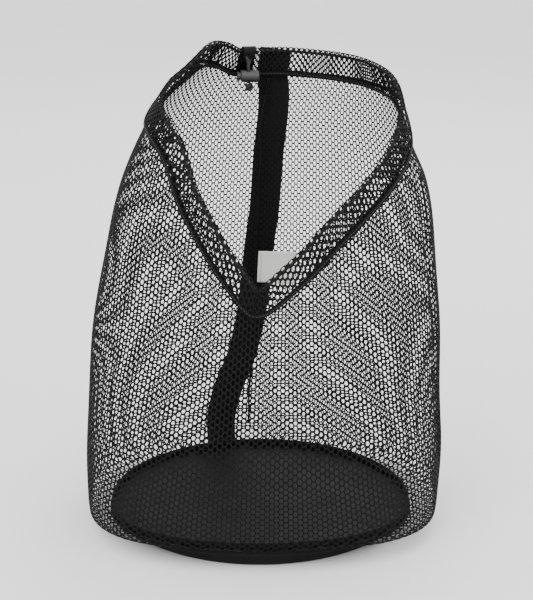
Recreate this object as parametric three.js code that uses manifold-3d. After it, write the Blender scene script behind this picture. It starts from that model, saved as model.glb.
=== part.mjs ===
// Mesh drawstring bag with one webbing shoulder strap, standing upright and open.
// Millimetres, +Z up. The origin is the centre of the base's underside, +Y points to the bag's
// back, where the strap hangs, and the mouth droops in a deep V at the front, -Y.
import * as THREE from "three";
import { mergeVertices } from "three/addons/utils/BufferGeometryUtils.js";
import Module from "manifold-3d";

const wasm = await Module();
wasm.setup();

// ---- driving dimensions -------------------------------------------------------------------

const GAP = 0.4; // clearance between pieces that lie on each other

const BASE_RADIUS = 147;
const BASE_THICKNESS = 2.2;
const BASE_FLAT_RADIUS = 136; // the base is flat inside this radius
const BASE_LIFT_RADIUS = 150; // the edge's rise eases towards this radius
const BASE_LIFT_GAIN = 1.2;
const SEAM_HEIGHT = 3; // base seam above the ground at the sides and the back
const FRONT_SEAM_HEIGHT = 18; // the base cloth turns up this far at the front

const NET_THICKNESS = 1.4;
const TUCK_HEIGHT = 22; // the net reaches its full girth this far above the base seam

// Level sections of the net: height, half width, centre X, depth to the front, depth to the
// back, and squareness, where 2 is an ellipse.
const SECTIONS = [
  [0, 166, 2, 152, 149, 2.6],
  [25, 169, 2.5, 152, 146, 2.6],
  [78, 170, 3.4, 143, 134, 2.4],
  [140, 167, 5.5, 133, 122, 2.25],
  [211, 162, 8, 122, 112, 2.15],
  [279, 152.5, 10.3, 112, 105, 2.1],
  [327, 141, 11.7, 103, 101, 2.1],
  [364, 126.5, 12.5, 92, 98, 2.1],
  [400, 111, 18, 82, 95, 2.1],
  [430, 92, 25, 74, 93, 2.1],
  [455, 84, 29, 70, 91, 2.1],
];

// Height of the mouth's stitch line against the angle from the front, in degrees, growing
// towards +X.
const MOUTH_HEIGHTS = [
  [-6, 230], [13, 256], [34, 297], [57, 334], [84, 369], [102, 396], [175, 408],
  [208, 410], [224, 421], [240, 423], [266, 391], [302, 361], [320, 312], [340, 257],
];

const HEM_WIDTH = 28; // stitch line to the free edge
const HEM_TUNNEL = 4.8; // inside, from layer to layer
const HEM_LAYER = 1;
const HEM_SQUARING = 0.55; // 0 sets the hem square to the stitch line, 1 straight up the wall
const NET_TUCK = 6; // the net's top edge reaches this far up between the hem's layers

const SEAM_ANGLE = 186.2; // where the net's two ends meet, at the back
const SEAM_SLIT = 0.25; // half the slit between them, in degrees
const BINDING_WIDTH = 2;
const BINDING_DEPTH = 4;
const BINDING_INSET = 2.3; // from the middle of the net
const BINDING_TOP_DROP = 2;
const BASE_BINDING_RADIUS = 144.4;
const BASE_BINDING_HEIGHT = 7;

const CORD_DIAMETER = 2.8;
const EXIT_ANGLE = 202; // where the drawstring leaves the hem
const EXIT_RADIUS = 6.7;
const EXIT_RISE = 18.6; // above the stitch line
const EXIT_REACH = 12; // the drawstring ends this far to each side of the exit
const PATCH_HALF_WIDTH = 7.6;
const PATCH_LAYER = 0.8;
const PATCH_BOTTOM = 2;

const KNOT_RADIUS = 4.4;
const KNOT_HEIGHT = 7.4;
const KNOT_POSITION = [-10.8, 76.5, 399.5];

const STRAP_WIDTH = 30;
const STRAP_THICKNESS = 1.6;
const STRAP_ANGLE = 184.6; // middle of the strap's top end
const STRAP_TOP = 25; // the strap's end above the stitch line
const STRAP_TOP_SEWN = 58; // the strap stays with the hem this far from its top end
const STRAP_BOTTOM_SEWN = 62; // and with the base seam this far from its bottom end
const STRAP_JOINT_GAP = 1.5;

const LABEL_WIDTH = 38;
const LABEL_HEIGHT = 34;
const LABEL_THICKNESS = 0.6;
const LABEL_MIDDLE = 213; // height above the ground
const LABEL_OPENING = 7; // degrees between the label and the wall

const LOCK_POSITION = [-9.3, 76.5, 410.5];
const LOCK_RADIUS = 6;
const LOCK_HALF_LENGTH = 9;
const LOCK_BORE = 4.4;
const LOCK_FLOOR = 6.9; // closed end of the bore, from the lock's middle
const PLUNGER_RADIUS = 4.1;
const PLUNGER_TRAVEL = 3.2;
const PLUNGER_HEAD = 12.8; // the button's face, from the lock's middle
const PLUNGER_END = 3;
const SPRING_BORE = 2.5;
const SPRING_SEAT = 0.9;
const SPRING_RADIUS = 2.2;
const SPRING_WIRE = 0.7;
const SPRING_CLEARANCE = 0.2;
const CORD_SLOT_X = -1.5; // the cords cross the lock here
const CORD_SLOT_WIDTH = 3.4;
const CORD_SLOT_DEPTH = 7.6;

// ---- materials ----------------------------------------------------------------------------

const plain = (color, roughness, metalness = 0) =>
  new THREE.MeshStandardMaterial({ color, roughness, metalness, side: THREE.DoubleSide });

const NET_BLACK = plain(0x141414, 0.75);
const CLOTH_BLACK = plain(0x1b1b1c, 0.55);
const WEBBING_BLACK = plain(0x1c1c1c, 0.7);
const CORD_BLACK = plain(0x161616, 0.65);
const PLASTIC_BLACK = plain(0x121212, 0.35);
const SPRING_STEEL = plain(0xb4b6b8, 0.3, 1);
const LABEL_WHITE = plain(0xf0f0ee, 0.6);

const bag = new THREE.Group();

function addPiece(name, geometry, material, parent = bag) {
  const piece = new THREE.Mesh(geometry, material);
  piece.name = name;
  parent.add(piece);
  return piece;
}

// ---- curves and shapes --------------------------------------------------------------------

// A smooth curve through rows of [x, y]. Each row's slope comes from its two neighbours.
function smoothCurve(rows) {
  const last = rows.length - 1;
  const slope = (i) => {
    const before = rows[Math.max(i - 1, 0)];
    const after = rows[Math.min(i + 1, last)];
    return (after[1] - before[1]) / (after[0] - before[0]);
  };
  return (x) => {
    let i = 0;
    while (i < last - 1 && x > rows[i + 1][0]) {
      i += 1;
    }
    const step = rows[i + 1][0] - rows[i][0];
    const t = THREE.MathUtils.clamp((x - rows[i][0]) / step, 0, 1);
    const rise = t * t * (3 - 2 * t);
    const start = t * (1 - t) * (1 - t);
    const end = t * t * (1 - t);
    return (
      rows[i][1] * (1 - rise) + rows[i + 1][1] * rise + step * (slope(i) * start - slope(i + 1) * end)
    );
  };
}

const sectionColumn = (column) => smoothCurve(SECTIONS.map((row) => [row[0], row[column]]));
const halfWidthAt = sectionColumn(1);
const centreAt = sectionColumn(2);
const frontDepthAt = sectionColumn(3);
const backDepthAt = sectionColumn(4);
const squarenessAt = sectionColumn(5);
const mouthHeightAt = smoothCurve(
  [-360, 0, 360].flatMap((turn) => MOUTH_HEIGHTS.map(([angle, height]) => [angle + turn, height])),
);

function seamHeightAt(angle) {
  const front = Math.max(0, Math.cos(THREE.MathUtils.degToRad(angle)));
  return SEAM_HEIGHT + (FRONT_SEAM_HEIGHT - SEAM_HEIGHT) * front * front;
}

// A point in the middle of the net's thickness, at an angle from the front and a height.
function wallPoint(angle, z) {
  const turn = THREE.MathUtils.degToRad(angle);
  const side = Math.sin(turn);
  const front = Math.cos(turn);
  const depth = front > 0 ? frontDepthAt(z) : backDepthAt(z);
  const power = squarenessAt(z);
  const across = (Math.abs(side) / halfWidthAt(z)) ** power;
  const along = (Math.abs(front) / depth) ** power;
  const radius = (across + along) ** (-1 / power);
  const left = 1 - THREE.MathUtils.clamp((z - seamHeightAt(angle)) / TUCK_HEIGHT, 0, 1);
  const girth = 1 - left * left;
  const seamRadius = BASE_RADIUS + GAP + NET_THICKNESS / 2;
  return new THREE.Vector3(
    THREE.MathUtils.lerp(seamRadius * side, centreAt(z) + radius * side, girth),
    THREE.MathUtils.lerp(-seamRadius * front, -radius * front, girth),
    z,
  );
}

// The wall's directions at a point: along the wall, up the wall and straight out of it.
function wallFrame(angle, z) {
  const along = wallPoint(angle + 0.5, z).sub(wallPoint(angle - 0.5, z)).normalize();
  const up = wallPoint(angle, z + 0.5).sub(wallPoint(angle, z - 0.5)).normalize();
  const out = new THREE.Vector3().crossVectors(along, up).normalize();
  return { point: wallPoint(angle, z), along, up, out };
}

const mouthPoint = (angle) => wallPoint(angle, mouthHeightAt(angle));

// The hem's directions at a point of the stitch line.
function hemFrame(angle) {
  const { point, up: wallUp, out } = wallFrame(angle, mouthHeightAt(angle));
  const along = mouthPoint(angle + 0.5).sub(mouthPoint(angle - 0.5)).normalize();
  const square = new THREE.Vector3().crossVectors(out, along).normalize();
  const up = square.lerp(wallUp, HEM_SQUARING).normalize();
  return { point, along, up, out };
}

// A point near a frame: out from the wall's middle and up from the stitch line.
const offset = (frame, out, up, along = 0) =>
  frame.point
    .clone()
    .addScaledVector(frame.out, out)
    .addScaledVector(frame.up, up)
    .addScaledVector(frame.along, along);

function signedVolume(positions, index) {
  const corner = (i) => new THREE.Vector3().fromArray(positions, 3 * index[i]);
  let volume = 0;
  for (let i = 0; i < index.length; i += 3) {
    volume += corner(i).dot(corner(i + 1).cross(corner(i + 2))) / 6;
  }
  return volume;
}

function solid(positions, index) {
  if (signedVolume(positions, index) < 0) {
    index.reverse();
  }
  const geometry = new THREE.BufferGeometry();
  geometry.setAttribute("position", new THREE.Float32BufferAttribute(positions, 3));
  geometry.setIndex(index);
  return geometry;
}

// Carries a flat outline through stations. place(station, corner) gives each corner's point.
// A closed run joins its last station to its first. An open one gets two end caps, each filled
// in strips between the outline's first half and its second, so that a bent end stays bent.
function sweep(outline, stations, place, closed) {
  const corners = outline.length;
  const positions = stations.flatMap((station) =>
    outline.flatMap((corner) => place(station, corner).toArray()),
  );
  const index = [];
  const runs = closed ? stations.length : stations.length - 1;
  for (let i = 0; i < runs; i += 1) {
    const here = i * corners;
    const next = ((i + 1) % stations.length) * corners;
    for (let j = 0; j < corners; j += 1) {
      const k = (j + 1) % corners;
      index.push(here + j, here + k, next + k, here + j, next + k, next + j);
    }
  }
  if (!closed) {
    const end = (stations.length - 1) * corners;
    for (let j = 0; j < corners / 2 - 1; j += 1) {
      const k = j + 1;
      const across = corners - 1 - j;
      index.push(k, j, across, k, across, across - 1);
      index.push(end + j, end + k, end + across, end + k, end + across - 1, end + across);
    }
  }
  return solid(positions, index);
}

const corner = (x, y) => new THREE.Vector2(x, y);

const rectangle = (x0, x1, y0, y1) => [corner(x0, y0), corner(x1, y0), corner(x1, y1), corner(x0, y1)];

function spread(from, to, count) {
  return Array.from({ length: count + 1 }, (_, i) => THREE.MathUtils.lerp(from, to, i / count));
}

const around = (count) => spread(0, 360, count).slice(0, -1);

function tube(points, radius, sides, steps) {
  const section = new THREE.Shape();
  section.absarc(0, 0, radius, 0, 2 * Math.PI, false);
  const path = new THREE.CatmullRomCurve3(points, false, "centripetal");
  const geometry = new THREE.ExtrudeGeometry(section, {
    steps,
    curveSegments: sides / 2,
    bevelEnabled: false,
    extrudePath: path,
  });
  return merged(geometry);
}

function merged(geometry) {
  geometry.deleteAttribute("normal");
  geometry.deleteAttribute("uv");
  return mergeVertices(geometry, 1e-4);
}

function toManifold(geometry) {
  const mesh = merged(geometry);
  return new wasm.Manifold(
    new wasm.Mesh({
      numProp: 3,
      vertProperties: new Float32Array(mesh.attributes.position.array),
      triVerts: new Uint32Array(mesh.index.array),
    }),
  );
}

// The first geometry with the others cut out of it.
function cut(geometry, ...tools) {
  let result = toManifold(geometry);
  for (const tool of tools) {
    result = result.subtract(toManifold(tool));
  }
  const mesh = result.getMesh();
  const rest = new THREE.BufferGeometry();
  rest.setAttribute("position", new THREE.Float32BufferAttribute(mesh.vertProperties, 3));
  rest.setIndex(Array.from(mesh.triVerts));
  return rest;
}

// ---- net wall and base --------------------------------------------------------------------

// One length of net wrapped round, its two ends meeting at the back seam.
function netWall() {
  const levels = [0, 0.02, 0.045, 0.09, 0.16, 0.25, 0.36, 0.48, 0.6, 0.72, 0.83, 0.92, 1];
  const half = NET_THICKNESS / 2;
  const outline = [
    ...levels.map((level) => corner(half, level)),
    ...levels.toReversed().map((level) => corner(-half, level)),
  ];
  const stations = spread(SEAM_ANGLE + SEAM_SLIT, SEAM_ANGLE + 360 - SEAM_SLIT, 76);
  const place = (angle, { x: out, y: level }) => {
    const z = THREE.MathUtils.lerp(seamHeightAt(angle), mouthHeightAt(angle) + NET_TUCK, level);
    return offset(wallFrame(angle, z), out, 0);
  };
  return sweep(outline, stations, place, false);
}

// A disc of cloth whose edge turns up to the base seam, furthest at the front.
function basePanel() {
  const radii = [60, 110, BASE_FLAT_RADIUS, 139, 142, 144.5, BASE_RADIUS];
  const profile = [
    corner(0, 0),
    ...radii.map((radius) => corner(radius, 0)),
    ...radii.toReversed().map((radius) => corner(radius, BASE_THICKNESS)),
    corner(0, BASE_THICKNESS),
  ];
  const geometry = merged(new THREE.LatheGeometry(profile, 56).rotateX(Math.PI / 2));
  const position = geometry.attributes.position;
  for (let i = 0; i < position.count; i += 1) {
    const x = position.getX(i);
    const y = position.getY(i);
    const edge = THREE.MathUtils.smoothstep(Math.hypot(x, y), BASE_FLAT_RADIUS, BASE_LIFT_RADIUS);
    const angle = THREE.MathUtils.radToDeg(Math.atan2(x, -y));
    const lift = seamHeightAt(angle) - BASE_THICKNESS - GAP;
    position.setZ(i, position.getZ(i) + lift * Math.min(edge * BASE_LIFT_GAIN, 1));
  }
  return geometry;
}

// The taped seam allowance that stands inside, on the base seam.
function baseBinding() {
  const half = BINDING_WIDTH / 2;
  const outline = rectangle(BASE_BINDING_RADIUS - half, BASE_BINDING_RADIUS + half, GAP, BASE_BINDING_HEIGHT);
  const place = (angle, { x: radius, y: rise }) => {
    const turn = THREE.MathUtils.degToRad(angle);
    return new THREE.Vector3(radius * Math.sin(turn), -radius * Math.cos(turn), seamHeightAt(angle) + rise);
  };
  return sweep(outline, around(64), place, true);
}

// The taped seam allowance that stands inside, up the back.
function backSeamBinding() {
  const half = BINDING_WIDTH / 2;
  const outline = rectangle(-BINDING_INSET - BINDING_DEPTH, -BINDING_INSET, -half, half);
  const bottom = SEAM_HEIGHT + TUCK_HEIGHT + BASE_BINDING_HEIGHT;
  const top = mouthHeightAt(SEAM_ANGLE) - BINDING_TOP_DROP;
  const place = (z, { x: out, y: along }) => offset(wallFrame(SEAM_ANGLE, z), out, 0, along);
  return sweep(outline, spread(bottom, top, 22), place, false);
}

// ---- hem, exit patch and drawstring -------------------------------------------------------

// A fold open at the bottom: two straight legs joined by a round top.
function foldOutline(innerHalf, thickness, bottom) {
  const top = HEM_WIDTH - HEM_TUNNEL / 2 - HEM_LAYER;
  const arc = (radius) =>
    spread(0, Math.PI, 6).map((turn) => corner(radius * Math.cos(turn), top + radius * Math.sin(turn)));
  const outerHalf = innerHalf + thickness;
  const middle = (top + bottom) / 2;
  return [
    corner(outerHalf, bottom),
    corner(outerHalf, middle),
    ...arc(outerHalf),
    corner(-outerHalf, middle),
    corner(-outerHalf, bottom),
    corner(-innerHalf, bottom),
    corner(-innerHalf, middle),
    ...arc(innerHalf).toReversed(),
    corner(innerHalf, middle),
    corner(innerHalf, bottom),
  ];
}

const exitFrame = hemFrame(EXIT_ANGLE);
const mouthCentre = new THREE.Vector3(centreAt(exitFrame.point.z), 0, exitFrame.point.z);

// The angle that a distance along the hem takes up near the exit.
const turnAtExit = (distance) =>
  THREE.MathUtils.radToDeg(distance / mouthPoint(EXIT_ANGLE).distanceTo(mouthCentre));

// The hole's cutter, through the inner layers only.
function exitCutter() {
  const cutter = new THREE.CylinderGeometry(EXIT_RADIUS, EXIT_RADIUS, 6, 20);
  const toOut = new THREE.Quaternion().setFromUnitVectors(new THREE.Vector3(0, 1, 0), exitFrame.out);
  const middle = offset(exitFrame, -HEM_TUNNEL / 2 - 2.5, EXIT_RISE);
  return cutter.applyQuaternion(toOut).translate(...middle.toArray());
}

function hemCasing() {
  const outline = foldOutline(HEM_TUNNEL / 2, HEM_LAYER, 0);
  const stations = around(120).map(hemFrame);
  return cut(sweep(outline, stations, (frame, { x, y }) => offset(frame, x, y), true), exitCutter());
}

function exitPatch() {
  const outline = foldOutline(HEM_TUNNEL / 2 + HEM_LAYER + 1.5 * GAP, PATCH_LAYER, PATCH_BOTTOM);
  const reach = turnAtExit(PATCH_HALF_WIDTH);
  const stations = spread(EXIT_ANGLE - reach, EXIT_ANGLE + reach, 6).map(hemFrame);
  return cut(sweep(outline, stations, (frame, { x, y }) => offset(frame, x, y), false), exitCutter());
}

// The drawstring runs through the hem from one side of the exit to the other.
function drawstring() {
  const rise = HEM_WIDTH - HEM_TUNNEL / 2 - HEM_LAYER - 2 * GAP;
  const reach = turnAtExit(EXIT_REACH);
  const angles = spread(EXIT_ANGLE + reach, EXIT_ANGLE + 360 - reach, 72);
  const points = angles.map((angle) => offset(hemFrame(angle), 0, rise));
  return tube(points, CORD_DIAMETER / 2, 8, 80);
}

// ---- shoulder strap -----------------------------------------------------------------------

// The strap's centre line: sewn to the outside of the hem, down the back clear of the wall, and
// under to the base seam.
function strapLine() {
  const frame = hemFrame(STRAP_ANGLE);
  const out = HEM_TUNNEL / 2 + HEM_LAYER + GAP + STRAP_THICKNESS / 2;
  const sewn = [STRAP_TOP, STRAP_TOP / 2, 0].map((up) => offset(frame, out, up));
  const hanging = [
    [13.5, 101.5, 392], [13, 105.5, 372], [8.3, 111.5, 326], [4, 118.5, 267], [-1.5, 123.5, 226],
    [-7.7, 131, 164], [-19.8, 139.5, 106], [-33, 147, 70], [-40, 153, 42], [-42, 157.5, 24],
    [-42, 160, 12], [-41.5, 158.5, 4.5], [-40, 153.5, 1.7], [-38.2, 146.4, 1.2],
  ].map((point) => new THREE.Vector3(...point));
  return new THREE.CatmullRomCurve3([...sewn, ...hanging], false, "centripetal");
}

const strapCurve = strapLine();
strapCurve.arcLengthDivisions = 2000;
const strapLength = strapCurve.getLength();

// The strap from one distance along it to another. Its width stays level where it can.
function strapStretch(from, to, count) {
  const outline = rectangle(-STRAP_WIDTH / 2, STRAP_WIDTH / 2, -STRAP_THICKNESS / 2, STRAP_THICKNESS / 2);
  const place = (distance, { x: across, y: through }) => {
    const point = strapCurve.getPointAt(distance / strapLength);
    const tangent = strapCurve.getTangentAt(distance / strapLength);
    const width = new THREE.Vector3(1, 0, 0).projectOnPlane(tangent).normalize();
    const normal = new THREE.Vector3().crossVectors(tangent, width);
    return point.addScaledVector(width, across).addScaledVector(normal, through);
  };
  return sweep(outline, spread(from, to, count), place, false);
}

// ---- care label ---------------------------------------------------------------------------

// The label hangs on the seam binding by its short side, like a page. Its frame is its hinge.
function labelHinge() {
  const wall = wallFrame(SEAM_ANGLE, LABEL_MIDDLE);
  const point = offset(wall, -BINDING_INSET - BINDING_DEPTH - 2 * GAP, 0, -BINDING_WIDTH / 2 - GAP);
  const reach = wall.along.clone().negate();
  const page = reach.applyAxisAngle(wall.up, -THREE.MathUtils.degToRad(LABEL_OPENING));
  const facing = new THREE.Vector3().crossVectors(wall.up, page);
  return new THREE.Matrix4().makeBasis(page, facing, wall.up).setPosition(point);
}

function careLabel() {
  return new THREE.BoxGeometry(LABEL_WIDTH, LABEL_THICKNESS, LABEL_HEIGHT).translate(LABEL_WIDTH / 2, 0, 0);
}

// ---- cord lock and tails ------------------------------------------------------------------

const turned = (profile) =>
  new THREE.LatheGeometry(profile.toReversed().map(([x, radius]) => corner(radius, x)), 28).rotateZ(-Math.PI / 2);

const cordSlot = (x0, x1) =>
  new THREE.BoxGeometry(x1 - x0, CORD_SLOT_DEPTH, 3 * LOCK_RADIUS).translate((x0 + x1) / 2, 0, 0);

// A barrel along X, closed at +X, with a slot through it for the two cords.
function lockBarrel() {
  const barrel = turned([
    [LOCK_HALF_LENGTH, 0],
    [LOCK_HALF_LENGTH, LOCK_RADIUS - 2],
    [LOCK_HALF_LENGTH - 0.7, LOCK_RADIUS - 0.8],
    [LOCK_HALF_LENGTH - 2, LOCK_RADIUS],
    [1 - LOCK_HALF_LENGTH, LOCK_RADIUS],
    [-LOCK_HALF_LENGTH, LOCK_RADIUS - 0.6],
    [-LOCK_HALF_LENGTH, LOCK_BORE],
    [LOCK_FLOOR, LOCK_BORE],
    [LOCK_FLOOR, 0],
  ]);
  const half = CORD_SLOT_WIDTH / 2;
  return cut(barrel, cordSlot(CORD_SLOT_X - half, CORD_SLOT_X + half));
}

// The button slides in the barrel. Its slot is longer than the barrel's by its travel.
function lockButton() {
  const button = turned([
    [SPRING_SEAT, 0],
    [SPRING_SEAT, SPRING_BORE],
    [PLUNGER_END, SPRING_BORE],
    [PLUNGER_END, PLUNGER_RADIUS],
    [1 - PLUNGER_HEAD, PLUNGER_RADIUS],
    [0.3 - PLUNGER_HEAD, PLUNGER_RADIUS - 0.7],
    [-PLUNGER_HEAD, PLUNGER_RADIUS - 2],
    [-PLUNGER_HEAD, 0],
  ]);
  const half = CORD_SLOT_WIDTH / 2;
  return cut(button, cordSlot(CORD_SLOT_X - half - PLUNGER_TRAVEL, CORD_SLOT_X + half));
}

// The spring at its pressed length: a ring between the barrel's floor and the button's bore.
function lockSpring() {
  const start = SPRING_SEAT + PLUNGER_TRAVEL + SPRING_CLEARANCE;
  const end = LOCK_FLOOR - SPRING_CLEARANCE;
  const inner = SPRING_RADIUS - SPRING_WIRE;
  return turned([
    [start, inner],
    [end, inner],
    [end, SPRING_RADIUS],
    [start, SPRING_RADIUS],
    [start, inner],
  ]);
}

// Each tail leaves the hem's tunnel through the exit, turns down and hangs through the lock.
const TAIL_ROUTES = {
  left: [
    [-19.0, 82.1, 432.6], [-17.3, 83.1, 432.3], [-15.6, 83.6, 431.9], [-14.7, 83.4, 430.2],
    [-13.7, 82.6, 428.6], [-12.8, 81.3, 427.3], [-12.1, 79.9, 425.7], [-11.5, 78.2, 423.9],
    [-11.1, 76.7, 421.8], [-10.9, 75.6, 419.4], [-10.8, 75.0, 416.8], [-10.8, 74.9, 413.8],
    [-10.8, 74.9, 410.6], [-10.8, 74.9, 407.2], [-10.8, 74.9, 403.7],
  ],
  right: [
    [-1.4, 89.6, 431.8], [-3.1, 88.9, 431.4], [-4.8, 88.3, 430.6], [-6.5, 87.7, 428.8],
    [-7.9, 86.7, 427.0], [-8.9, 85.2, 425.5], [-9.6, 83.5, 424.3], [-10.2, 81.7, 422.8],
    [-10.6, 80.1, 420.9], [-10.8, 78.9, 418.6], [-10.8, 78.2, 416.0], [-10.8, 78.1, 413.2],
    [-10.8, 78.1, 410.2], [-10.8, 78.1, 407.0], [-10.8, 78.1, 403.7],
  ],
};

function tail(side) {
  const points = TAIL_ROUTES[side].map((point) => new THREE.Vector3(...point));
  return tube(points, CORD_DIAMETER / 2, 8, 26);
}

// The tails end in one overhand knot: a rounded lump, wider than it is tall.
function tailKnot() {
  const profile = spread(-Math.PI / 2, Math.PI / 2, 8).map((turn) =>
    corner(KNOT_RADIUS * Math.cos(turn), KNOT_HEIGHT / 2 * Math.sin(turn)),
  );
  profile[0].x = 0;
  profile.at(-1).x = 0;
  return new THREE.LatheGeometry(profile, 16).rotateX(Math.PI / 2);
}

// ---- assembly -----------------------------------------------------------------------------

addPiece("net_wall", netWall(), NET_BLACK);
addPiece("base_panel", basePanel(), CLOTH_BLACK);
addPiece("base_seam_binding", baseBinding(), CLOTH_BLACK);
addPiece("back_seam_binding", backSeamBinding(), CLOTH_BLACK);
addPiece("drawstring_hem", hemCasing(), NET_BLACK);
addPiece("exit_patch", exitPatch(), CLOTH_BLACK);
addPiece("drawstring", drawstring(), CORD_BLACK);

addPiece("strap_top_end", strapStretch(0, STRAP_TOP_SEWN, 8), WEBBING_BLACK);
addPiece(
  "shoulder_strap",
  strapStretch(STRAP_TOP_SEWN + STRAP_JOINT_GAP, strapLength - STRAP_BOTTOM_SEWN - STRAP_JOINT_GAP, 36),
  WEBBING_BLACK,
);
addPiece("strap_bottom_end", strapStretch(strapLength - STRAP_BOTTOM_SEWN, strapLength, 22), WEBBING_BLACK);

addPiece("drawstring_tail_left", tail("left"), CORD_BLACK);
addPiece("drawstring_tail_right", tail("right"), CORD_BLACK);
addPiece("drawstring_knot", tailKnot(), CORD_BLACK).position.set(...KNOT_POSITION);

const label = addPiece("care_label", careLabel(), LABEL_WHITE);
labelHinge().decompose(label.position, label.quaternion, label.scale);

const lock = new THREE.Group();
lock.position.set(...LOCK_POSITION);
bag.add(lock);
addPiece("cord_lock_barrel", lockBarrel(), PLASTIC_BLACK, lock);
addPiece("cord_lock_button", lockButton(), PLASTIC_BLACK, lock);
addPiece("cord_lock_spring", lockSpring(), SPRING_STEEL, lock);

export default bag;
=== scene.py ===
import math

import bpy
import numpy as np
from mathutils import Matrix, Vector


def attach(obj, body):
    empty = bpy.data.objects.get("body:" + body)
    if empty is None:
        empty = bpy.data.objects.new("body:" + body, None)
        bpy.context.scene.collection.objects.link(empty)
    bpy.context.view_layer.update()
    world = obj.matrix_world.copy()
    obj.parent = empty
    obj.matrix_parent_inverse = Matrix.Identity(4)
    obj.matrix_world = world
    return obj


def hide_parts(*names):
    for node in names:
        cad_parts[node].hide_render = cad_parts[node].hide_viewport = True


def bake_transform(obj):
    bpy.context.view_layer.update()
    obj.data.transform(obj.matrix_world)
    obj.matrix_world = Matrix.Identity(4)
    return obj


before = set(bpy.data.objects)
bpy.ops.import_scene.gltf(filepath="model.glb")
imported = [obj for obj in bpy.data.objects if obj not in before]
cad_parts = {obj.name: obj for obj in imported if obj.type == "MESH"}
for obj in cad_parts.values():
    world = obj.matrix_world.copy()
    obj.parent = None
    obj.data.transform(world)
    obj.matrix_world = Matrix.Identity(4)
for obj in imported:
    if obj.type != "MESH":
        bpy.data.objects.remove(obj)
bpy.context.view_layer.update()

# All sizes are in millimetres until a mesh is made. +Y is the back and +Z is up.
MM = 0.001

# The wall: height, half width, middle across, front depth, back depth, squareness.
SECTIONS = np.array([
    [0, 166, 2, 152, 149, 2.6],
    [25, 169, 2.5, 152, 146, 2.6],
    [78, 170, 3.4, 143, 134, 2.4],
    [140, 167, 5.5, 133, 122, 2.25],
    [211, 162, 8, 122, 112, 2.15],
    [279, 152.5, 10.3, 112, 105, 2.1],
    [327, 141, 11.7, 103, 101, 2.1],
    [364, 126.5, 12.5, 92, 98, 2.1],
    [400, 111, 18, 82, 95, 2.1],
    [430, 92, 25, 74, 93, 2.1],
    [455, 84, 29, 70, 91, 2.1],
])
# Height of the mouth's stitch line against the angle from the front.
MOUTH_HEIGHTS = np.array([
    [-6, 230], [13, 256], [34, 297], [57, 334], [84, 369], [102, 396], [175, 408],
    [208, 410], [224, 421], [240, 423], [266, 391], [302, 361], [320, 312], [340, 257],
], float)
BASE_RADIUS = 147
BASE_THICKNESS = 2.2
BASE_FLAT_RADIUS = 136
BASE_LIFT_RADIUS = 150
BASE_LIFT_GAIN = 1.2
SEAM_HEIGHT = 3
FRONT_SEAM_RISE = 15
SEAM_RADIUS = 148.1
TUCK_HEIGHT = 22
SOFT_TUCK_HEIGHT = 9  # the soft net hangs out lower than the solid's wall before it tucks in
SEAM_ANGLE = 186.2
NET_TUCK = 6

COLUMNS = 220  # half cells around the net
ROW_PITCH = 6.4
NET_ROWS = 72
NET_THICKNESS = 0.6
PANELS = 4
BOTTOM_ROWS = 12  # the rows straighten above the base seam over this many

# Folds that spread from the bottom of the V in the mouth.
V_HEIGHT = 232
V_GIRTH = 140
FOLD_DEPTH = 1.7
FOLD_COUNT = 9
FOLD_PHASE = 0.5
FOLD_REACH = 62
FOLD_SPREAD = 60
FOLD_SIDE = 80
# One upright crease on the right, which leans a little.
CREASE_DEPTH = 3.6
CREASE_ANGLE = 75
CREASE_LEAN = 0.01
CREASE_LEVEL = 200
CREASE_SPREAD = 2.6
# Slack all over, which fades near the base and the mouth.
SLACK_DEPTH = 1.3
SLACK_WAVES = 5
SLACK_RISE = 55
RIPPLE_DEPTH = 0.8
RIPPLE_RISE = 23
RIPPLE_TURN = 14
SLACK_START = 30
SLACK_FADE = 60
MOUTH_FADE = 45

HEM_WIDTH = 28
HEM_TUNNEL = 4.8
HEM_LAYER = 1
HEM_SQUARING = 0.55
HEM_HALF = HEM_TUNNEL / 2 + HEM_LAYER / 2
HEM_TOP = HEM_WIDTH - HEM_TUNNEL / 2 - HEM_LAYER
HEM_ROWS = 9
HEM_NET_THICKNESS = 0.7
EDGE_TAPE = 4
EDGE_TAPE_GAP = 0.3
EDGE_TAPE_THICKNESS = 0.7
STITCH_LIFT = 0.05

BINDING_WIDTH = 2
BINDING_DEPTH = 4
BINDING_INSET = 2.3
BASE_BINDING_RADIUS = 144.4
BASE_BINDING_HEIGHT = 7
BINDING_GAP = 0.4
BINDING_TOP_DROP = 2
BINDING_WAVE = 0.35
BINDING_WAVE_RISE = 9
BASE_GAP = 0.4
BASE_HOLE = 0.5
BASE_RINGS = 90
# Each wave of the base cloth: depth, spacing, how far it wanders and over what length.
LONG_WRINKLES = (0.5, 11, 2, 24)
SHORT_WRINKLES = (0.4, 8, 1.5, 17)
WRINKLE_START = 60
WRINKLE_FADE = 80
WRINKLE_LIFT = 1.2
WRINKLE_SHARE = 0.4  # of the wrinkles that is left in the middle
PUCKERS = 46
PUCKER_DEPTH = 0.7
PUCKER_WANDER = 2
PUCKER_STRETCH = 9
BASE_RELIEF = 0.8
EXIT_ANGLE = 202
EXIT_TURN = 8
PATCH_TURN = 4.4
PATCH_GAP = 0.6
PATCH_LAYER = 0.8
PATCH_BOTTOM = 2
CORD_RADIUS = 1.4
CORD_DROP = 0.8  # below the top of the hem's tunnel
BRAID_PITCH = 3.2
BRAID_RELIEF = 0.07
BRAID_STRANDS = 3
BRAID_SIDE = (0.31, 0.2, 0.93)  # any direction that no cord runs along
KNOT_SIZE = 1.05
KNOT_RISE = 2.1
KNOT_POSITION = (-10.8, 76.5, 399.5)

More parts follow.
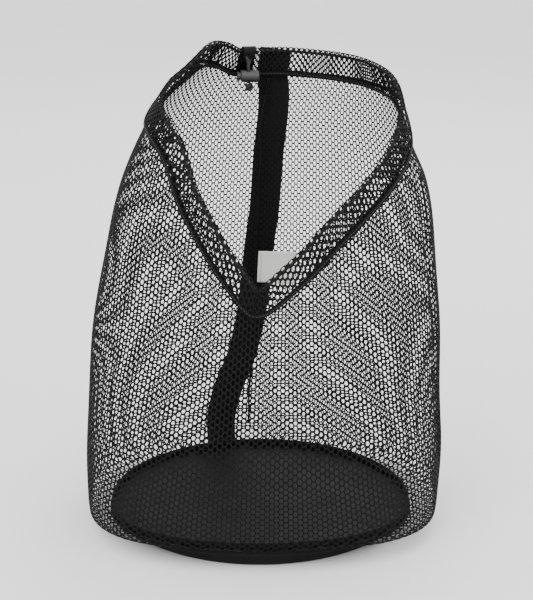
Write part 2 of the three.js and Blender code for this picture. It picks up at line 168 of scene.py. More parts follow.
STRAP_WIDTH = 30
STRAP_THICKNESS = 1.6
STRAP_ANGLE = 184.6
STRAP_TOP = 25
STRAP_GAP = 0.4
STRAP_STEPS = 900
STRAP_EDGE_POWER = 14  # how late the strap thins towards its edges
STRAP_EDGE_SHARE = 0.35
STRAP_BODY_INSET = 0.1
RIB_DEPTH = 0.09
RIBS = 11
WEFT_DEPTH = 0.06
WEFT_PITCH = 1.9
BOX_STITCH = [(3, -12), (3, 12), (24, 12), (24, -12), (3, -12), (24, 12), (24, -12), (3, 12)]
BOX_STITCH_STEPS = 16
STITCH_LENGTH = 2.2
STITCH_GAP = 1.0
STITCH_RADIUS = 0.28
STITCH_RINGS = ((0, 0.3), (0.3, 1), (0.7, 1), (1, 0.3))  # share of the length, share of the radius
STITCH_TURNS = [math.radians(60 * number) for number in range(6)]
STRAP_POINTS = [
    [13.5, 101.5, 392], [13, 105.5, 372], [8.3, 111.5, 326], [4, 118.5, 267],
    [-1.5, 123.5, 226], [-7.7, 131, 164], [-19.8, 139.5, 106], [-33, 147, 70],
    [-40, 153, 42], [-42, 157.5, 24], [-42, 160, 12], [-41.5, 158.5, 4.5],
    [-40, 153.5, 1.7], [-38.2, 146.4, 1.2],
]
TAIL_ROUTES = {
    "left": [
        [-19.0, 82.1, 432.6], [-17.3, 83.1, 432.3], [-15.6, 83.6, 431.9], [-14.7, 83.4, 430.2],
        [-13.7, 82.6, 428.6], [-12.8, 81.3, 427.3], [-12.1, 79.9, 425.7], [-11.5, 78.2, 423.9],
        [-11.1, 76.7, 421.8], [-10.9, 75.6, 419.4], [-10.8, 75.0, 416.8], [-10.8, 74.9, 413.8],
        [-10.8, 74.9, 410.6], [-10.8, 74.9, 407.2], [-10.8, 74.9, 403.7],
    ],
    "right": [
        [-1.4, 89.6, 431.8], [-3.1, 88.9, 431.4], [-4.8, 88.3, 430.6], [-6.5, 87.7, 428.8],
        [-7.9, 86.7, 427.0], [-8.9, 85.2, 425.5], [-9.6, 83.5, 424.3], [-10.2, 81.7, 422.8],
        [-10.6, 80.1, 420.9], [-10.8, 78.9, 418.6], [-10.8, 78.2, 416.0], [-10.8, 78.1, 413.2],
        [-10.8, 78.1, 410.2], [-10.8, 78.1, 407.0], [-10.8, 78.1, 403.7],
    ],
}

LABEL_WIDTH = 38
LABEL_HEIGHT = 34
LABEL_HINGE = (-2.40, 104.56, 212.14)
LABEL_PAGE = (0.9962, -0.0858, -0.0145)
LABEL_FACING = (0.0868, 0.9886, 0.1153)
LABEL_UP = (0.0473, -0.1198, 0.9917)
LABEL_THICKNESS = 0.3
LABEL_CURL = 1.6
LABEL_RIPPLE = 0.3
LABEL_SEAM = 2  # the grid column that is stitched to the binding
LABEL_STITCH_LENGTH = 1.8
LABEL_STITCH_DEPTH = 0.2

CAMERA_ASIDE = 2.6
CAMERA_DISTANCE = 1769
CAMERA_ELEVATION = 24
CAMERA_PITCH = -17.5
CAMERA_YAW = 0.125
CAMERA_LENS = 107.1
CAMERA_FAR = 20
FLOOR_SIZE = 12
FLOOR_DROP = 0.0005
SKY_STRENGTH = 2.6
LIGHT_TARGET = (0, 0, 0.2)
LIGHTS = (
    ("key", (-0.9, -1.3, 1.7), 34, 1.2),
    ("fill", (1.4, -0.9, 1.1), 18, 1.4),
    ("back", (0.4, 1.5, 1.6), 26, 1.2),
)

SHADE_DETAIL = 6
SHADE_RANGE = (0.3, 0.75)
WAVE_PERIOD = 0.314  # of the wave texture at a scale of 1, in metres
YARN_WANDER = 0.6
YARN_SHADOW = 0.35
BUMP_STRENGTH = 0.6
WEAR = 0.08  # how far roughness wanders either way
SHEEN_ROUGHNESS = 0.4


# ---- curves -------------------------------------------------------------------------------

def hermite(xs, ys, x):
    """Smooth curve through the points, level with its neighbours' slope, and flat outside."""
    slopes = np.empty_like(ys)
    slopes[1:-1] = (ys[2:] - ys[:-2]) / (xs[2:] - xs[:-2])
    slopes[0] = (ys[1] - ys[0]) / (xs[1] - xs[0])
    slopes[-1] = (ys[-1] - ys[-2]) / (xs[-1] - xs[-2])
    x = np.clip(x, xs[0], xs[-1])
    i = np.clip(np.searchsorted(xs, x, side="right") - 1, 0, len(xs) - 2)
    span = xs[i + 1] - xs[i]
    t = (x - xs[i]) / span
    return (
        (2 * t**3 - 3 * t**2 + 1) * ys[i]
        + (t**3 - 2 * t**2 + t) * span * slopes[i]
        + (3 * t**2 - 2 * t**3) * ys[i + 1]
        + (t**3 - t**2) * span * slopes[i + 1]
    )


def section(column, z):
    return hermite(SECTIONS[:, 0], SECTIONS[:, column], z)


def mouth_height(angle):
    angles = np.concatenate([MOUTH_HEIGHTS[:, 0] + turn for turn in (-360, 0, 360)])
    heights = np.tile(MOUTH_HEIGHTS[:, 1], 3)
    return hermite(angles, heights, (np.asarray(angle, float) + 6) % 360 - 6)


def seam_height(angle):
    return SEAM_HEIGHT + FRONT_SEAM_RISE * np.maximum(0, np.cos(np.radians(angle))) ** 2


def lengths_along(line):
    """How far along a line each of its points is."""
    return np.concatenate([[0], np.cumsum(np.linalg.norm(np.diff(line, axis=0), axis=1))])


def unit(v):
    return v / np.linalg.norm(v, axis=-1, keepdims=True)


def wall_point(angle, z):
    angle, z = np.broadcast_arrays(np.asarray(angle, float), np.asarray(z, float))
    side = np.sin(np.radians(angle))
    front = np.cos(np.radians(angle))
    depth = np.where(front > 0, section(3, z), section(4, z))
    power = section(5, z)
    across = (np.abs(side) / section(1, z)) ** power
    along = (np.abs(front) / depth) ** power
    radius = (across + along) ** (-1 / power)
    left = 1 - np.clip((z - seam_height(angle)) / SOFT_TUCK_HEIGHT, 0, 1)
    girth = 1 - left**2
    x = SEAM_RADIUS * side * (1 - girth) + (section(2, z) + radius * side) * girth
    y = -front * (SEAM_RADIUS * (1 - girth) + radius * girth)
    return np.stack([x, y, z], -1)


def wall_frame(angle, z):
    along = unit(wall_point(angle + 0.5, z) - wall_point(angle - 0.5, z))
    up = unit(wall_point(angle, z + 0.5) - wall_point(angle, z - 0.5))
    return wall_point(angle, z), along, up, unit(np.cross(along, up))


def hem_frame(angle):
    angle = np.asarray(angle, float)
    point, _, wall_up, out = wall_frame(angle, mouth_height(angle))
    ahead = wall_point(angle + 0.5, mouth_height(angle + 0.5))
    behind = wall_point(angle - 0.5, mouth_height(angle - 0.5))
    along = unit(ahead - behind)
    square = unit(np.cross(out, along))
    up = unit(square * (1 - HEM_SQUARING) + wall_up * HEM_SQUARING)
    return point, along, up, out


def offset(at, out, up, along=0.0):
    point, direction, rise, normal = at
    out, up, along = (np.asarray(v, float)[..., None] for v in (out, up, along))
    return point + normal * out + rise * up + direction * along


def catmull_rom(points, steps):
    """Centripetal Catmull-Rom line, evenly sampled by length."""
    p = np.array(points, float)
    p = np.vstack([2 * p[0] - p[1], p, 2 * p[-1] - p[-2]])
    line = []
    for a, b, c, d in zip(p, p[1:], p[2:], p[3:]):
        knots = np.cumsum([0, *[np.linalg.norm(v) ** 0.5 for v in (b - a, c - b, d - c)]])
        t = np.linspace(knots[1], knots[2], 40, endpoint=False)[:, None]
        ab = a + (b - a) * (t - knots[0]) / (knots[1] - knots[0])
        bc = b + (c - b) * (t - knots[1]) / (knots[2] - knots[1])
        cd = c + (d - c) * (t - knots[2]) / (knots[3] - knots[2])
        abc = ab + (bc - ab) * (t - knots[0]) / (knots[2] - knots[0])
        bcd = bc + (cd - bc) * (t - knots[1]) / (knots[3] - knots[1])
        line.append(abc + (bcd - abc) * (t - knots[1]) / (knots[2] - knots[1]))
    line = np.vstack([*line, p[-2]])
    walked = lengths_along(line)
    at = np.linspace(0, walked[-1], steps)
    return np.stack([np.interp(at, walked, line[:, k]) for k in range(3)], -1), walked[-1]


# ---- meshes -------------------------------------------------------------------------------

def make(name, points, faces, material, uv=None, smooth=True):
    mesh = bpy.data.meshes.new(name)
    mesh.from_pydata((np.asarray(points) * MM).tolist(), [], [list(map(int, f)) for f in faces])
    mesh.update()
    if uv is not None:
        layer = mesh.uv_layers.new(name="OFBake")
        corners = np.empty(len(mesh.loops), int)
        mesh.loops.foreach_get("vertex_index", corners)
        layer.data.foreach_set("uv", uv[corners].astype(np.float32).ravel())
    mesh.polygons.foreach_set("use_smooth", [smooth] * len(mesh.polygons))
    mesh.materials.append(material)
    obj = bpy.data.objects.new(name, mesh)
    bpy.context.scene.collection.objects.link(obj)
    return obj


def sweep(name, rings, material, closed=False, smooth=True):
    """Skin over rings of points. An open run gets end caps, filled in strips across the ring."""
    count, corners = rings.shape[:2]
    faces = []
    for i in range(count if closed else count - 1):
        here = i * corners
        after = (i + 1) % count * corners
        for j in range(corners):
            k = (j + 1) % corners
            faces.append((here + j, here + k, after + k, after + j))
    if not closed:
        end = (count - 1) * corners
        for j in range(corners // 2 - 1):
            across = corners - 1 - j
            faces.append((j + 1, j, across, across - 1))
            faces.append((end + j, end + j + 1, end + across - 1, end + across))
    return make(name, rings.reshape(-1, 3), faces, material, smooth=smooth)


def rectangle_ring(x0, x1, y0, y1, steps):
    """Corners of a rectangle whose long sides are split, first side out and second side back."""
    x = np.linspace(x0, x1, steps)
    low = np.stack([x, np.full(steps, y0)], -1)
    high = np.stack([x[::-1], np.full(steps, y1)], -1)
    return np.vstack([low, high])


# A cell's outer corners in thirds of a column and halves of a row, which cells share. Its
# hole's corners are in whole columns and rows.
HEX = [(2, 0), (1, 1), (-1, 1), (-2, 0), (-1, -1), (1, -1)]
HOLE = [(0.485, 0), (0.25, 0.385), (-0.25, 0.385), (-0.485, 0), (-0.25, -0.385), (0.25, -0.385)]


def lattice(name, columns, rows, keep, place, material, thickness=NET_THICKNESS):
    """Net of hexagonal holes. place(u, v) gives points and normals for column u and row v."""
    i, j = (a.ravel() for a in np.meshgrid(columns, rows, indexing="ij"))
    kept = keep(i.astype(float), j + 0.5 * (i % 2))
    i, j = i[kept], j[kept]
    keys = np.array([(3 * i + a, 2 * j + i % 2 + b) for a, b in HEX]).transpose(2, 0, 1)
    corners, index = np.unique(keys.reshape(-1, 2), axis=0, return_inverse=True)
    outer = index.reshape(-1, 6)
    hole_u = np.stack([i + a for a, _ in HOLE], 1)
    hole_v = np.stack([j + 0.5 * (i % 2) + b for _, b in HOLE], 1)
    u = np.concatenate([corners[:, 0] / 3, hole_u.ravel()])
    v = np.concatenate([corners[:, 1] / 2, hole_v.ravel()])
    inner = len(corners) + np.arange(len(i) * 6).reshape(-1, 6)
    points, normals = place(u, v)
    total = len(points)
    after = np.roll(np.arange(6), -1)
    front = np.stack([outer, outer[:, after], inner[:, after], inner], -1).reshape(-1, 4)
    back = front[:, ::-1] + total
    walls = np.stack([inner, inner[:, after], inner[:, after] + total, inner + total], -1)
    edges = np.stack([outer, outer[:, after]], -1).reshape(-1, 2)
    ordered = np.sort(edges, 1)
    _, first, times = np.unique(ordered, axis=0, return_index=True, return_counts=True)
    rim = edges[first[times == 1]]
    border = np.stack([rim[:, 1], rim[:, 0], rim[:, 0] + total, rim[:, 1] + total], -1)
    faces = np.vstack([front, back, walls.reshape(-1, 4), border])
    half = normals * thickness / 2
    uv = np.stack([(u - u.min()) / np.ptp(u) * 0.49, (v - v.min()) / np.ptp(v)], -1)
    uv = np.vstack([uv, uv + [0.5, 0]])
    return make(name, np.vstack([points + half, points - half]), faces, material, uv, False)


def braid(name, line, radius, material, sides=12, closed=False):
    """Cord with crossing strands raised on its surface."""
    tangent = unit(np.gradient(line, axis=0))
    if closed:
        tangent = unit(np.roll(line, -1, 0) - np.roll(line, 1, 0))
    normal = [unit(np.cross(tangent[0], BRAID_SIDE))]
    for t in tangent[1:]:
        normal.append(unit(normal[-1] - t * np.dot(normal[-1], t)))
    normal = np.array(normal)
    other = np.cross(tangent, normal)
    turn = np.linspace(0, 2 * np.pi, sides, endpoint=False)
    phase = lengths_along(line)[:, None] * 2 * np.pi / BRAID_PITCH
    relief = np.sin(BRAID_STRANDS * turn + phase) * np.sin(BRAID_STRANDS * turn - phase)
    r = (radius * (1 + BRAID_RELIEF * relief))[..., None]
    spokes = np.cos(turn)[:, None] * normal[:, None] + np.sin(turn)[:, None] * other[:, None]
    return sweep(name, line[:, None] + r * spokes, material, closed)


def stitch_points(start, end, up):
    """Corners of one thread stitch: rings around it, small at its ends."""
    along = unit(end - start)
    side = np.cross(up, along)
    points = []
    for share, size in STITCH_RINGS:
        middle = start + (end - start) * share
        for turn in STITCH_TURNS:
            spoke = side * math.cos(turn) + up * math.sin(turn)
            points.append(middle + STITCH_RADIUS * size * spoke)
    return points


def stitch_faces(first):
    """Skin over one stitch whose first corner has that number."""
    sides = len(STITCH_TURNS)
    faces = []
    for ring in range(len(STITCH_RINGS) - 1):
        low = first + sides * ring
        for a in range(sides):
            b = (a + 1) % sides
            faces.append((low + a, low + sides + a, low + sides + b, low + b))
    last = first + sides * (len(STITCH_RINGS) - 1)
    faces.append([first + a for a in range(sides)])
    faces.append([last + a for a in reversed(range(sides))])
    return faces


def stitches(name, line, normal, material, length=STITCH_LENGTH):
    """Row of raised thread stitches along a line that lies on cloth."""
    walked = lengths_along(line)

    def at(distance, values):
        return np.array([np.interp(distance, walked, values[:, k]) for k in range(3)])

    points = []
    faces = []
    for start in np.arange(0, walked[-1] - length, length + STITCH_GAP):
        up = unit(at(start + length / 2, normal))
        faces += stitch_faces(len(points))
        points += stitch_points(at(start, line), at(start + length, line), up)
    return make(name, points, faces, material)


# ---- materials ----------------------------------------------------------------------------

def soft_patches(tree, place, dark, light, scale):
    """Two shades in soft patches. Gives the noise and the colour."""
    cloud = tree.nodes.new("ShaderNodeTexNoise")
    cloud.inputs["Scale"].default_value = scale
    cloud.inputs["Detail"].default_value = SHADE_DETAIL
    ramp = tree.nodes.new("ShaderNodeValToRGB")
    for number, colour in enumerate((dark, light)):
        ramp.color_ramp.elements[number].position = SHADE_RANGE[number]
        ramp.color_ramp.elements[number].color = (*colour, 1)
    tree.links.new(place.outputs["Object"], cloud.inputs["Vector"])
    tree.links.new(cloud.outputs["Fac"], ramp.inputs["Fac"])
    return cloud, ramp


def crossing_yarns(tree, place, pitch):
    """Height of a plain weave with yarns that far apart, in metres."""
    cross = tree.nodes.new("ShaderNodeMath")
    cross.operation = "MULTIPLY"
    for number, direction in enumerate(("X", "Z")):
        wave = tree.nodes.new("ShaderNodeTexWave")
        wave.bands_direction = direction
        wave.inputs["Scale"].default_value = WAVE_PERIOD / pitch
        wave.inputs["Distortion"].default_value = YARN_WANDER
        tree.links.new(place.outputs["Object"], wave.inputs["Vector"])
        tree.links.new(wave.outputs["Fac"], cross.inputs[number])
    return cross


def fabric(name, dark, light, roughness, weave, relief, sheen=0.2, patch=40, specular=0.4):
    """Surface of two shades in soft patches, with crossing yarns that also put painted shade into the
    colour between them, wear and a faint sheen.
    """
    material = bpy.data.materials.new(name)
    material.use_nodes = True
    tree = material.node_tree
    shader = tree.nodes["Principled BSDF"]
    place = tree.nodes.new("ShaderNodeTexCoord")
    cloud, ramp = soft_patches(tree, place, dark, light, patch)
    cross = crossing_yarns(tree, place, weave)
    # painted shade: the weave's height darkens the colour where the yarns dip, between them
    painted_yarn_shade = tree.nodes.new("ShaderNodeMix")
    painted_yarn_shade.data_type = "RGBA"
    painted_yarn_shade.blend_type = "MULTIPLY"
    painted_yarn_shade.inputs["Factor"].default_value = YARN_SHADOW
    tree.links.new(ramp.outputs["Color"], painted_yarn_shade.inputs["A"])
    tree.links.new(cross.outputs["Value"], painted_yarn_shade.inputs["B"])
    tree.links.new(painted_yarn_shade.outputs["Result"], shader.inputs["Base Color"])
    bump = tree.nodes.new("ShaderNodeBump")
    bump.inputs["Distance"].default_value = relief
    bump.inputs["Strength"].default_value = BUMP_STRENGTH
    tree.links.new(cross.outputs["Value"], bump.inputs["Height"])
    tree.links.new(bump.outputs["Normal"], shader.inputs["Normal"])
    worn = tree.nodes.new("ShaderNodeMapRange")
    worn.inputs["To Min"].default_value = roughness - WEAR
    worn.inputs["To Max"].default_value = roughness + WEAR
    tree.links.new(cloud.outputs["Fac"], worn.inputs["Value"])
    tree.links.new(worn.outputs["Result"], shader.inputs["Roughness"])
    shader.inputs["Sheen Weight"].default_value = sheen
    shader.inputs["Sheen Roughness"].default_value = SHEEN_ROUGHNESS
    shader.inputs["Specular IOR Level"].default_value = specular
    return material


def shade(value):
    return (value, value, value * 1.03)


NET = fabric(
    "net_yarn", shade(0.002), shade(0.004), roughness=0.7,
    weave=0.0006, relief=0.0001, sheen=0, specular=0.1,
)
CLOTH = fabric(
    "base_cloth", shade(0.0015), shade(0.003), roughness=0.62,
    weave=0.0007, relief=0.0001, sheen=0, patch=25, specular=0.1,
)
TAPE = fabric(
    "seam_tape", shade(0.002), shade(0.004), roughness=0.8,
    weave=0.0008, relief=0.00015, sheen=0, specular=0.1,
)
WEBBING = fabric(
    "webbing", shade(0.006), shade(0.010), roughness=0.78,
    weave=0.0012, relief=0.0002, sheen=0.1, specular=0.25,
)
CORD = fabric(
    "cord", shade(0.004), shade(0.008), roughness=0.6,
    weave=0.0008, relief=0.00015, sheen=0.08, specular=0.3,
)
THREAD = fabric("thread", shade(0.009), shade(0.018), roughness=0.55, weave=0.0004, relief=0.00005)
LABEL = fabric(
    "label_satin", (0.72, 0.72, 0.7), (0.82, 0.82, 0.8), roughness=0.5,
    weave=0.0005, relief=0.00005,
)
PLASTIC = fabric(
    "lock_plastic", shade(0.008), shade(0.013), roughness=0.38,
    weave=0.0009, relief=0.00001, sheen=0, patch=90, specular=0.5,
)
FLOOR = fabric(
    "floor", (0.86, 0.86, 0.86), (0.89, 0.89, 0.89), roughness=0.85,
    weave=0.004, relief=0.00001, sheen=0, patch=3,
)


# ---- pieces -------------------------------------------------------------------------------

def sag(angle, z):
    """How far the soft net stands out from its plain shape: folds, a crease and slack."""
    angle = (angle + 180) % 360 - 180
    across = np.radians(angle) * V_GIRTH
    rise = z - V_HEIGHT
    reach = np.hypot(across, rise)
    spoke = np.arctan2(rise, across)
    near = np.exp(-(((reach - FOLD_REACH) / FOLD_SPREAD) ** 2)) * (np.abs(angle) < FOLD_SIDE)
    folds = FOLD_DEPTH * np.sin(FOLD_COUNT * spoke + FOLD_PHASE) * near
    low = np.clip((z - SLACK_START) / SLACK_FADE, 0, 1)
    lean = CREASE_LEAN * (z - CREASE_LEVEL)
    crease = -CREASE_DEPTH * np.exp(-(((angle - CREASE_ANGLE - lean) / CREASE_SPREAD) ** 2)) * low
    slack = SLACK_DEPTH * np.sin(SLACK_WAVES * np.radians(angle) + z / SLACK_RISE)
    ripple = RIPPLE_DEPTH * np.sin(z / RIPPLE_RISE + angle / RIPPLE_TURN)
    edge = np.clip((mouth_height(angle) - z) / MOUTH_FADE, 0, 1)
    return (folds + crease + (slack + ripple) * low) * edge


def net_angle(u):
    return SEAM_ANGLE + 360 * u / COLUMNS


def net_height(angle, v):
    low = seam_height(angle)
    return np.maximum(v * ROW_PITCH + low * np.clip(1 - v / BOTTOM_ROWS, 0, 1), low)


def place_net(u, v):
    angle = net_angle(u)
    z = np.minimum(net_height(angle, v), mouth_height(angle) + NET_TUCK)
    point, _, _, out = wall_frame(angle, z)
    return point + out * sag(angle, z)[:, None], out


def net_panels():
    def keep(u, v):
        angle = net_angle(u)
        z = net_height(angle, v)
        return (v > 0) & (z < mouth_height(angle) + NET_TUCK - ROW_PITCH / 2)

    size = COLUMNS // PANELS
    rows = np.arange(0, NET_ROWS)
    for number in range(PANELS):
        columns = np.arange(number * size, (number + 1) * size)
        panel = lattice(f"net_panel_{number + 1}", columns, rows, keep, place_net, NET)
        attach(panel, "bag")
        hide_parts("net_wall")


def fold_point(length):
    """Point on the hem's fold: up the outside, over the top and down the inside."""
    arc = math.pi * HEM_HALF
    length = np.clip(length, 0, 2 * HEM_TOP + arc)
    turn = np.clip((length - HEM_TOP) / HEM_HALF, 0, math.pi)
    down = np.maximum(length - HEM_TOP - arc, 0)
    x = HEM_HALF * np.cos(turn)
    y = np.minimum(length, HEM_TOP) + HEM_HALF * np.sin(turn) - down
    return x, y, np.cos(turn), np.sin(turn)


def place_hem(u, v):
    at = hem_frame(net_angle(u))
    total = 2 * HEM_TOP + math.pi * HEM_HALF
    x, y, out, up = fold_point(v / HEM_ROWS * total)
    return offset(at, x, y), unit(at[3] * out[:, None] + at[2] * up[:, None])


def ring_of(at, outline):
    """Outline carried through every frame, as rings of points."""
    point, along, up, out = (v[:, None] for v in at)
    return point + out * outline[None, :, :1] + up * outline[None, :, 1:]


def fold_outline(inner, thickness, bottom):
    top = HEM_TOP
    turn = np.linspace(0, math.pi, 9)
    legs = []
    for half in (inner + thickness, inner):
        arc = np.stack([half * np.cos(turn), top + half * np.sin(turn)], -1)
        legs.append(np.vstack([[half, bottom], arc, [-half, bottom]]))
    return np.vstack([legs[0], legs[1][::-1]])


def hem():
    def keep(u, v):
        return (v > 0) & (v < HEM_ROWS)

    columns = np.arange(0, COLUMNS)
    rows = np.arange(0, HEM_ROWS)
    band = lattice("hem_net", columns, rows, keep, place_hem, NET, HEM_NET_THICKNESS)
    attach(band, "bag")
    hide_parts("drawstring_hem")
    at = hem_frame(np.linspace(0, 360, 360, endpoint=False))
    for side, name in ((1, "outer"), (-1, "inner")):
        face = side * (HEM_HALF + EDGE_TAPE_GAP)
        low, high = sorted((face, face + side * EDGE_TAPE_THICKNESS))
        outline = rectangle_ring(low, high, 0, EDGE_TAPE, 4)
        tape = sweep(f"hem_edge_{name}", ring_of(at, outline), TAPE, True)
        line = offset(at, face + side * (EDGE_TAPE_THICKNESS + STITCH_LIFT), EDGE_TAPE / 2)
        line = np.vstack([line, line[:1]])
        normal = np.vstack([at[3], at[3][:1]]) * side
        row = stitches(f"hem_stitches_{name}", line, normal, THREAD)
        for piece in (tape, row):
            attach(piece, "bag")


def wandering_wave(across, along, shape):
    depth, spacing, wander, stretch = shape
    return depth * np.sin(across / spacing + wander * np.sin(along / stretch))


def base():
    radii = np.concatenate([[BASE_HOLE], np.linspace(3, BASE_RADIUS, BASE_RINGS)])
    angles = np.linspace(0, 360, 240, endpoint=False)
    r, a = np.meshgrid(radii, angles)
    rise = np.clip((r - BASE_FLAT_RADIUS) / (BASE_LIFT_RADIUS - BASE_FLAT_RADIUS), 0, 1)
    lift = np.minimum(rise**2 * (3 - 2 * rise) * BASE_LIFT_GAIN, 1)
    height = lift * (seam_height(a) - BASE_THICKNESS - BASE_GAP)
    x = r * np.sin(np.radians(a))
    y = -r * np.cos(np.radians(a))
    edge = np.clip((r - WRINKLE_START) / WRINKLE_FADE, 0, 1)
    wrinkle = wandering_wave(x, y, LONG_WRINKLES) + wandering_wave(y, x, SHORT_WRINKLES)
    wrinkle = (wrinkle + WRINKLE_LIFT) * (WRINKLE_SHARE + (1 - WRINKLE_SHARE) * edge)
    turn = np.radians(a) * PUCKERS + PUCKER_WANDER * np.sin(r / PUCKER_STRETCH)
    pucker = PUCKER_DEPTH * np.sin(turn) * edge**2
    top = height + BASE_THICKNESS + (wrinkle + pucker) * BASE_RELIEF
    under = np.stack([x, y, height], -1)
    over = np.stack([x, y, top], -1)
    cloth = sweep("base_cloth_panel", np.concatenate([under, over[:, ::-1]], 1), CLOTH, True)
    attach(cloth, "bag")
    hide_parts("base_panel")


def base_binding():
    half = BINDING_WIDTH / 2
    angles = np.linspace(0, 360, 300, endpoint=False)
    inner = BASE_BINDING_RADIUS - half
    outer = BASE_BINDING_RADIUS + half
    outline = rectangle_ring(inner, outer, BINDING_GAP, BASE_BINDING_HEIGHT, 3)
    turn = np.radians(angles)[:, None]
    rings = np.stack([
        outline[None, :, 0] * np.sin(turn),
        -outline[None, :, 0] * np.cos(turn),
        outline[None, :, 1] + seam_height(angles)[:, None],
    ], -1)
    tape = sweep("base_binding", rings, TAPE, True)
    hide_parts("base_seam_binding")
    return tape


def back_seam():
    half = BINDING_WIDTH / 2
    bottom = SEAM_HEIGHT + TUCK_HEIGHT + BASE_BINDING_HEIGHT
    z = np.linspace(bottom, mouth_height(SEAM_ANGLE) - BINDING_TOP_DROP, 160)
    at = wall_frame(np.full(len(z), SEAM_ANGLE), z)
    wave = BINDING_WAVE * np.sin(z / BINDING_WAVE_RISE)
    corners = rectangle_ring(-BINDING_INSET - BINDING_DEPTH, -BINDING_INSET, -half, half, 4)
    point, along, _, out = (v[:, None] for v in at)
    side = corners[None, :, 1:] + wave[:, None, None]
    seam = sweep("seam_binding", point + out * corners[None, :, :1] + along * side, TAPE)
    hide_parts("back_seam_binding")
    line = offset(at, -BINDING_INSET - BINDING_DEPTH / 2, 0, half + wave)
    return seam, stitches("seam_stitches", line, at[1], THREAD)


def bindings():
    for piece in (base_binding(), *back_seam()):
        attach(piece, "bag")


def exit_patch():
    at = hem_frame(np.linspace(EXIT_ANGLE - PATCH_TURN, EXIT_ANGLE + PATCH_TURN, 16))
    outline = fold_outline(HEM_TUNNEL / 2 + HEM_LAYER + PATCH_GAP, PATCH_LAYER, PATCH_BOTTOM)
    patch = sweep("exit_reinforcement", ring_of(at, outline), CLOTH)
    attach(patch, "bag")
    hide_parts("exit_patch")


def drawstring():
    angles = np.linspace(EXIT_ANGLE + EXIT_TURN, EXIT_ANGLE + 360 - EXIT_TURN, 900)
    inside = offset(hem_frame(angles), 0, HEM_TOP - CORD_DROP)
    string = braid("drawstring_braid", inside, CORD_RADIUS, CORD)
    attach(string, "bag")
    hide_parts("drawstring")


def tail_knot():
    turn = np.linspace(0, 2 * np.pi, 160, endpoint=False)
    reach = 2 + np.cos(3 * turn)
    rise = KNOT_RISE * np.sin(3 * turn)
    loop = np.stack([reach * np.cos(2 * turn), reach * np.sin(2 * turn), rise], -1)
    knot = braid("tail_knot", loop * KNOT_SIZE + KNOT_POSITION, CORD_RADIUS, CORD, 10, True)
    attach(knot, "bag")
    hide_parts("drawstring_knot")
    return knot


def tails(knot):
    for side, route in TAIL_ROUTES.items():
        line, length = catmull_rom(route, 90)
        tail = braid(f"cord_tail_{side}", line, CORD_RADIUS, CORD)
        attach(tail, "bag")
        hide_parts(f"drawstring_tail_{side}")


def strap_line():
    at = hem_frame(np.array(STRAP_ANGLE))
    out = HEM_TUNNEL / 2 + HEM_LAYER + STRAP_GAP + STRAP_THICKNESS / 2
    sewn = [offset(at, out, up).ravel() for up in (STRAP_TOP, STRAP_TOP / 2, 0)]
    return catmull_rom([*sewn, *STRAP_POINTS], STRAP_STEPS)


def strap_frames(line):
    """Directions across the strap and out of its face."""
    tangent = unit(np.gradient(line, axis=0))
    width = unit(np.array([1.0, 0, 0]) - tangent * tangent[:, :1])
    return width, unit(np.cross(tangent, width))


def strap_rings(line, width, normal, distance):
    """The strap's section at each point of its line, ribbed lengthwise and woven crosswise."""
    across = np.linspace(-1, 1, 41)
    edge = np.sqrt(np.clip(1 - np.abs(across) ** STRAP_EDGE_POWER, 0, 1))
    ribs = RIB_DEPTH * np.cos(across * math.pi * RIBS)
    weft = WEFT_DEPTH * np.sin(distance * 2 * math.pi / WEFT_PITCH)[:, None]
    body = (STRAP_THICKNESS / 2 - STRAP_BODY_INSET) * (STRAP_EDGE_SHARE + (1 - STRAP_EDGE_SHARE) * edge)
    half = body + (ribs + weft) * edge
    centre = line[:, None] + width[:, None] * (across * STRAP_WIDTH / 2)[None, :, None]
    face = normal[:, None] * half[..., None]
    return np.concatenate([centre - face, (centre + face)[:, ::-1]], 1)


def box_stitches(line, width, normal, distance):
    """The crossed box that sews the strap's top end to the hem, on both faces."""
    legs = zip(BOX_STITCH, BOX_STITCH[1:])
    path = np.vstack([np.linspace(a, b, BOX_STITCH_STEPS) for a, b in legs])

    def along(values):
        return np.stack([np.interp(path[:, 0], distance, values[:, k]) for k in range(3)], -1)

    middle = along(line) + along(width) * path[:, 1:]
    for sign, name in ((1, "front"), (-1, "back")):
        face = along(normal) * sign
        thread = middle + face * (STRAP_THICKNESS / 2 + STITCH_LIFT)
        row = stitches(f"strap_box_{name}", thread, face, THREAD)
        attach(row, "bag")


def strap():
    line, length = strap_line()
    width, normal = strap_frames(line)
    distance = np.linspace(0, length, len(line))
    rings = strap_rings(line, width, normal, distance)
    middle = len(line) // 2
    upper = sweep("strap_upper", rings[:middle + 1], WEBBING)
    lower = sweep("strap_lower", rings[middle:], WEBBING)

    def at(walked):
        return (line[int(round(walked / length * (len(line) - 1)))] * MM).tolist()

    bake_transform(upper)
    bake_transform(lower)
    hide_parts("strap_top_end")
    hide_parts("shoulder_strap", "strap_bottom_end")
    box_stitches(line, width, normal, distance)


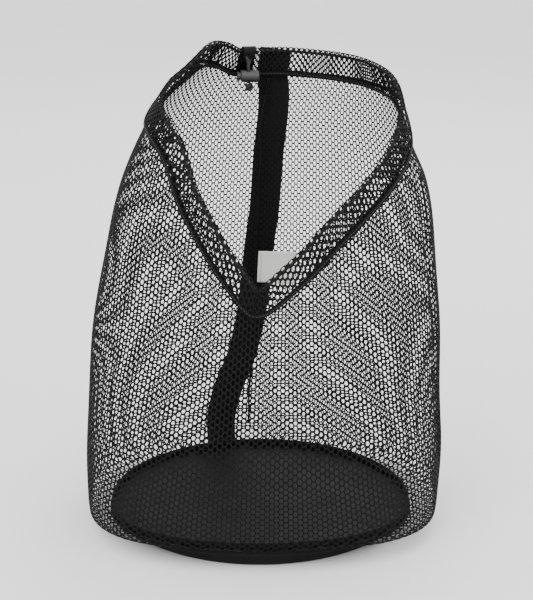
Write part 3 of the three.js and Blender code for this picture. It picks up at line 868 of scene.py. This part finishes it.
def care_label():
    across = np.linspace(0, LABEL_WIDTH, 24)
    upward = np.linspace(-LABEL_HEIGHT / 2, LABEL_HEIGHT / 2, 20)
    s, t = np.meshgrid(across, upward)
    curl = LABEL_CURL * (s / LABEL_WIDTH) ** 2 * np.sin(t / 9 + 0.6) + LABEL_RIPPLE * np.sin(s / 5)
    page, facing, up = (np.array(v) for v in (LABEL_PAGE, LABEL_FACING, LABEL_UP))
    middle = np.array(LABEL_HINGE) + s[..., None] * page + t[..., None] * up
    front = middle + facing * (curl[..., None] + LABEL_THICKNESS / 2)
    back = middle + facing * (curl[..., None] - LABEL_THICKNESS / 2)
    tag = sweep("care_tag", np.concatenate([front, back[:, ::-1]], 1), LABEL)
    line = middle[:, LABEL_SEAM] - facing * LABEL_STITCH_DEPTH
    normal = np.tile(-facing, (len(line), 1))
    row = stitches("care_tag_stitches", line, normal, THREAD, LABEL_STITCH_LENGTH)
    for piece in (tag, row):
        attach(piece, "label")
    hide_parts("care_label")


def cord_lock():
    for name in ("cord_lock_barrel", "cord_lock_button"):
        node = bpy.data.objects[name]
        node.data.materials.clear()
        node.data.materials.append(PLASTIC)


def studio():
    bpy.ops.mesh.primitive_plane_add(size=FLOOR_SIZE, location=(0, 0, -FLOOR_DROP))
    floor = bpy.context.object
    floor.name = "floor"
    floor.data.materials.append(FLOOR)
    world = bpy.data.worlds.new("studio")
    world.use_nodes = True
    sky = world.node_tree.nodes["Background"]
    sky.inputs["Color"].default_value = (1, 1, 1, 1)
    sky.inputs["Strength"].default_value = SKY_STRENGTH
    bpy.context.scene.world = world
    for name, place, power, size in LIGHTS:
        light = bpy.data.lights.new(name, "AREA")
        light.energy = power
        light.size = size
        lamp = bpy.data.objects.new(name, light)
        lamp.location = place
        towards = Vector(LIGHT_TARGET) - Vector(place)
        lamp.rotation_euler = towards.to_track_quat("-Z", "Y").to_euler()
        bpy.context.scene.collection.objects.link(lamp)


def camera():
    data = bpy.data.cameras.new("camera")
    data.lens = CAMERA_LENS
    data.clip_end = CAMERA_FAR
    eye = bpy.data.objects.new("camera", data)
    rise = math.radians(CAMERA_ELEVATION)
    away = CAMERA_DISTANCE * MM
    eye.location = (CAMERA_ASIDE * MM, -away * math.cos(rise), away * math.sin(rise))
    eye.rotation_euler = (math.radians(90 + CAMERA_PITCH), 0, math.radians(-CAMERA_YAW))
    bpy.context.scene.collection.objects.link(eye)
    bpy.context.scene.camera = eye


camera()
drawstring()
tails(tail_knot())
net_panels()
hem()
base()
bindings()
exit_patch()
strap()
care_label()
cord_lock()
studio()
